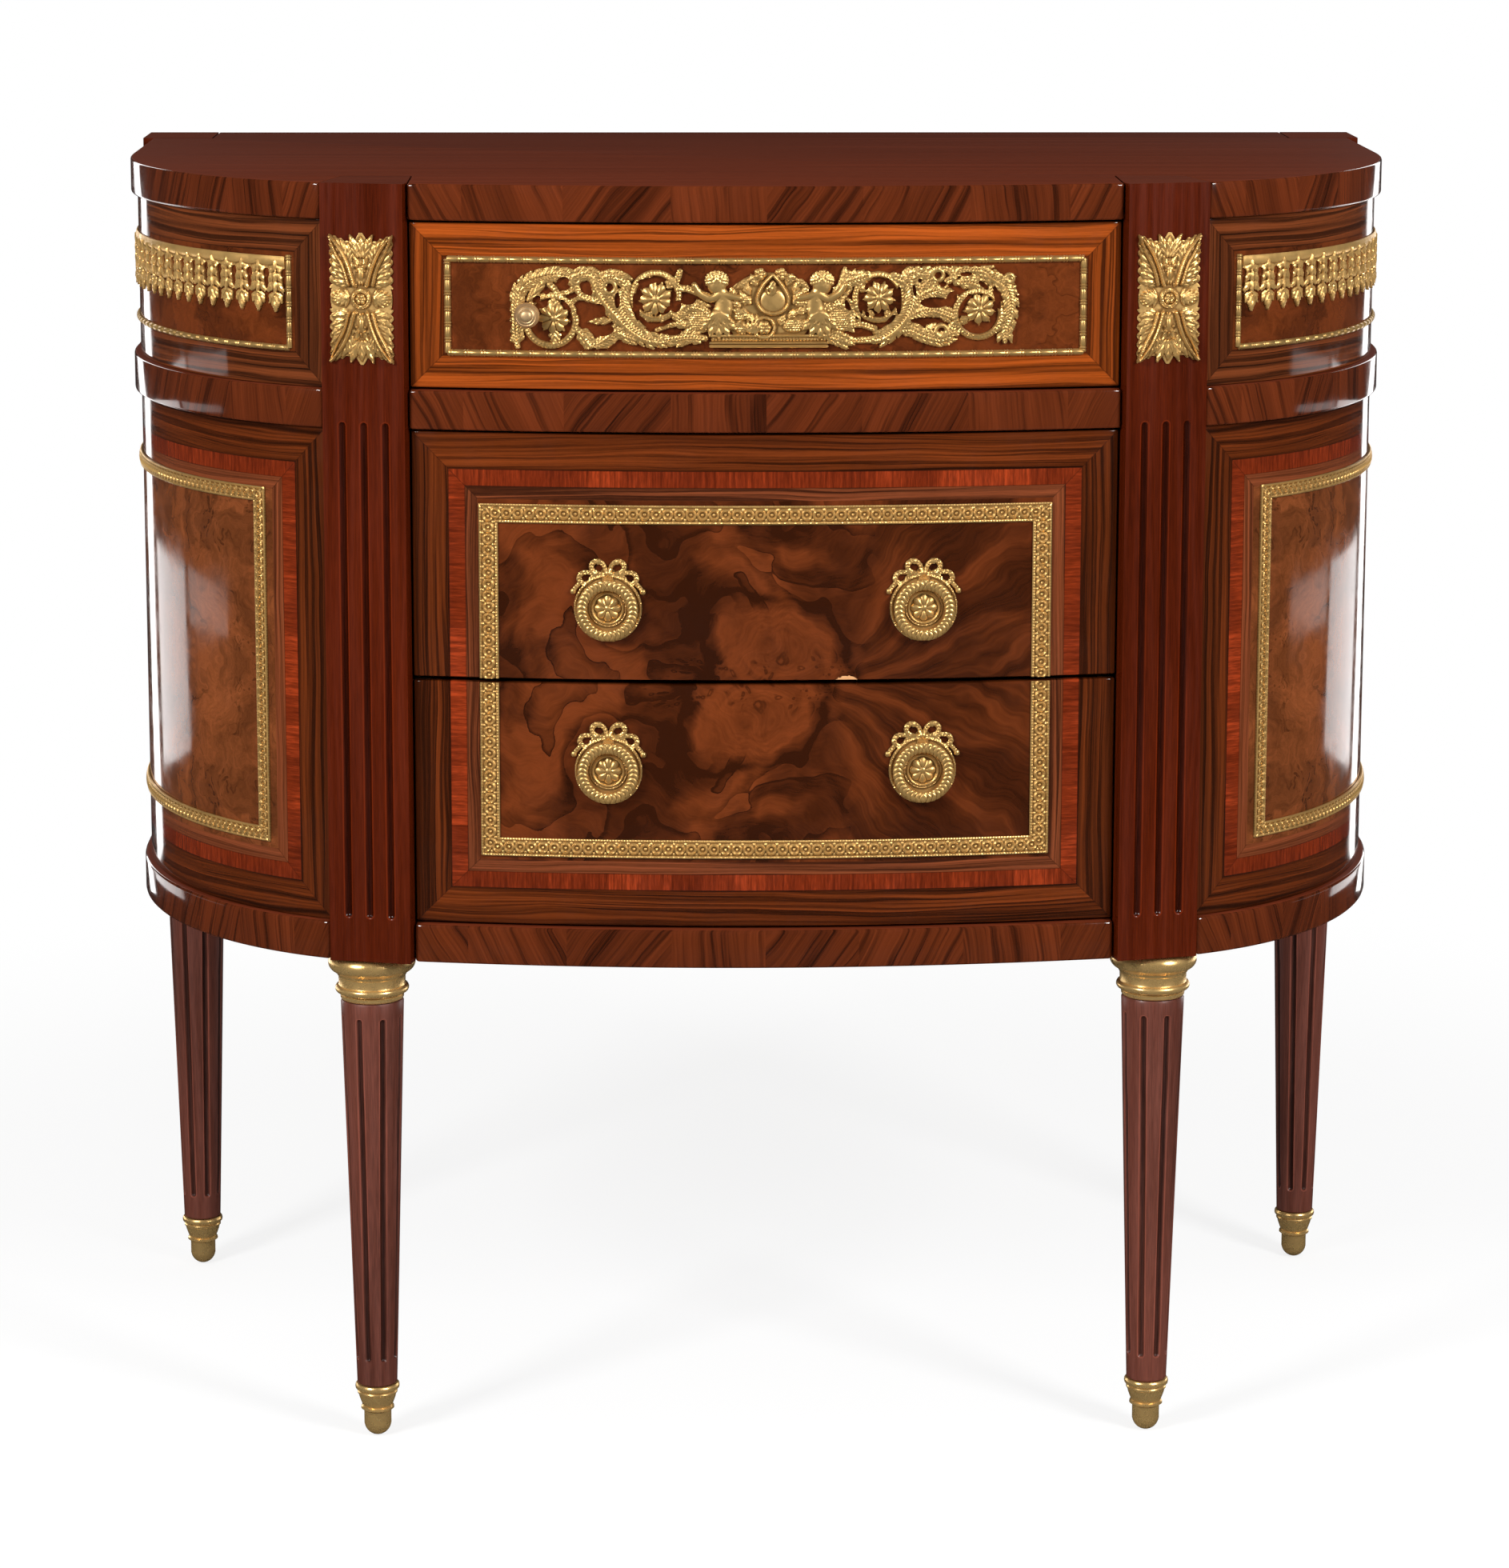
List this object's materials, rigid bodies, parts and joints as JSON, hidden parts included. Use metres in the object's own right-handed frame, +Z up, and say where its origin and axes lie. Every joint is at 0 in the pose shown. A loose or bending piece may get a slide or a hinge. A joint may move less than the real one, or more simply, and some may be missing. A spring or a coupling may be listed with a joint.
{
  "type": "half-moon chest of drawers",
  "caption": "Half-moon chest of drawers on turned fluted legs, with a narrow frieze drawer over deeper drawers and gilt mounts.",
  "frame": {"origin": "on the floor, below the middle of the bounding box", "axes": "+Z up, +X to the right of someone facing the drawers, +Y towards the back; the drawers open along -Y"},
  "size_m": [0.9012, 0.4663, 0.865],
  "materials": {
    "mahogany": "gloss lacquer",
    "veneer": "gloss lacquer",
    "drawer_lining": "matt",
    "gilt_brass": "polished"
  },
  "bodies": {
    "case": {"back_panel": "drawer_lining", "base_board": "veneer", "drawer_partition_left": "drawer_lining", "drawer_partition_right": "drawer_lining", "frieze_drawer_guide_left": "drawer_lining", "frieze_drawer_guide_right": "drawer_lining", "frieze_side_left": "veneer", "frieze_side_pendants_left": "gilt_brass", "frieze_side_pendants_right": "gilt_brass", "frieze_side_right": "veneer", "front_leg_collar_left": "gilt_brass", "front_leg_collar_right": "gilt_brass", "front_leg_sabot_left": "gilt_brass", "front_leg_sabot_right": "gilt_brass", "front_post_leg_left": "mahogany", "front_post_leg_right": "mahogany", "front_post_mount_left": "gilt_brass", "front_post_mount_right": "gilt_brass", "lower_side_frame_left": "gilt_brass", "lower_side_frame_right": "gilt_brass", "lower_side_left": "veneer", "lower_side_right": "veneer", "rear_leg_collar_left": "gilt_brass", "rear_leg_collar_right": "gilt_brass", "rear_leg_sabot_left": "gilt_brass", "rear_leg_sabot_right": "gilt_brass", "rear_post_leg_left": "mahogany", "rear_post_leg_right": "mahogany", "rear_post_mount_left": "gilt_brass", "rear_post_mount_right": "gilt_brass", "top_board": "veneer", "waist_board": "veneer"},
    "frieze_drawer": {"frieze_drawer_back": "drawer_lining", "frieze_drawer_bead": "gilt_brass", "frieze_drawer_bottom": "drawer_lining", "frieze_drawer_front": "veneer", "frieze_drawer_knob": "gilt_brass", "frieze_drawer_scroll_mount": "gilt_brass", "frieze_drawer_side_left": "drawer_lining", "frieze_drawer_side_right": "drawer_lining"},
    "upper_drawer": {"upper_drawer_back": "drawer_lining", "upper_drawer_bottom": "drawer_lining", "upper_drawer_frame": "gilt_brass", "upper_drawer_front": "veneer", "upper_drawer_pull_plate_left": "gilt_brass", "upper_drawer_pull_plate_right": "gilt_brass", "upper_drawer_side_left": "drawer_lining", "upper_drawer_side_right": "drawer_lining"},
    "lower_drawer": {"lower_drawer_back": "drawer_lining", "lower_drawer_bottom": "drawer_lining", "lower_drawer_frame": "gilt_brass", "lower_drawer_front": "veneer", "lower_drawer_pull_plate_left": "gilt_brass", "lower_drawer_pull_plate_right": "gilt_brass", "lower_drawer_side_left": "drawer_lining", "lower_drawer_side_right": "drawer_lining"},
    "lower_drawer_pull_ring_left": {"lower_drawer_pull_ring_left": "gilt_brass"},
    "lower_drawer_pull_ring_right": {"lower_drawer_pull_ring_right": "gilt_brass"},
    "upper_drawer_pull_ring_left": {"upper_drawer_pull_ring_left": "gilt_brass"},
    "upper_drawer_pull_ring_right": {"upper_drawer_pull_ring_right": "gilt_brass"}
  },
  "joints": [
    {"name": "frieze_drawer_slide", "type": "slide", "parent": "case", "child": "frieze_drawer", "axis": [0, -1, 0], "range_m": [0, 0.28]},
    {"name": "upper_drawer_slide", "type": "slide", "parent": "case", "child": "upper_drawer", "axis": [0, -1, 0], "range_m": [0, 0.28]},
    {"name": "lower_drawer_slide", "type": "slide", "parent": "case", "child": "lower_drawer", "axis": [0, -1, 0], "range_m": [0, 0.28]},
    {"name": "lower_drawer_pull_ring_left_hinge", "type": "hinge", "parent": "lower_drawer", "child": "lower_drawer_pull_ring_left", "pos_m": [-0.10456, -0.22584, 0.4945], "axis": [-0.9968, 0.0804, 0], "range_deg": [0, 90]},
    {"name": "lower_drawer_pull_ring_right_hinge", "type": "hinge", "parent": "lower_drawer", "child": "lower_drawer_pull_ring_right", "pos_m": [0.10456, -0.22584, 0.4945], "axis": [-0.9968, -0.0804, 0], "range_deg": [0, 90]},
    {"name": "upper_drawer_pull_ring_left_hinge", "type": "hinge", "parent": "upper_drawer", "child": "upper_drawer_pull_ring_left", "pos_m": [-0.10456, -0.22584, 0.604], "axis": [-0.9968, 0.0804, 0], "range_deg": [0, 90]},
    {"name": "upper_drawer_pull_ring_right_hinge", "type": "hinge", "parent": "upper_drawer", "child": "upper_drawer_pull_ring_right", "pos_m": [0.10456, -0.22584, 0.604], "axis": [-0.9968, -0.0804, 0], "range_deg": [0, 90]}
  ]
}
